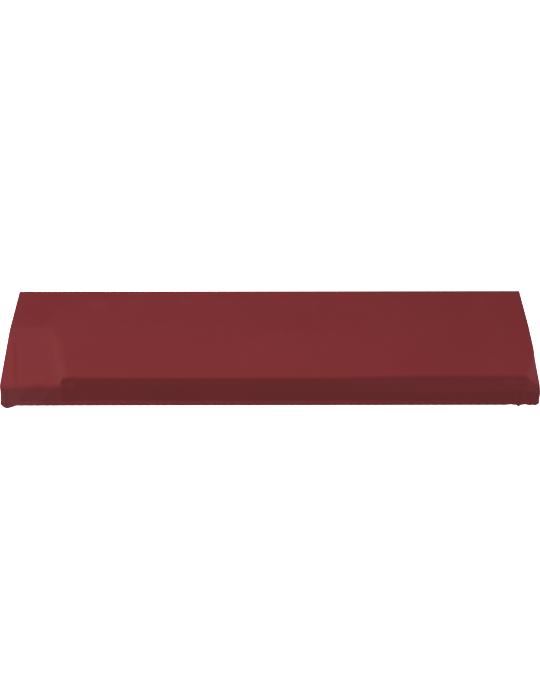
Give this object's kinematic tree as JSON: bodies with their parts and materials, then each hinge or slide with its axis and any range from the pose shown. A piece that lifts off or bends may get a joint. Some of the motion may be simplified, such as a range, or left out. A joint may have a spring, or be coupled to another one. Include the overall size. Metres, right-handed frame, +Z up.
{
  "type": "fitted keyboard dust cover",
  "caption": "Fitted stretch jersey dust cover for a stage keyboard, hollow, open below, with a low block at one end, a taut front edge over the keys and a turned hem.",
  "frame": {"origin": "on the underside of the top cloth at the middle of the plan, where the instrument below holds the cover up", "axes": "+X along the keys to the player's right, +Y to the back of the instrument, +Z up"},
  "size_m": [1.2962, 0.3437, 0.1182],
  "materials": {
    "red_jersey": "matte dark red stretch jersey with a fine knit and a soft sheen"
  },
  "bodies": {
    "root": {"wrap_panel": "red_jersey", "end_panel_left": "red_jersey", "end_panel_right": "red_jersey"}
  },
  "joints": []
}
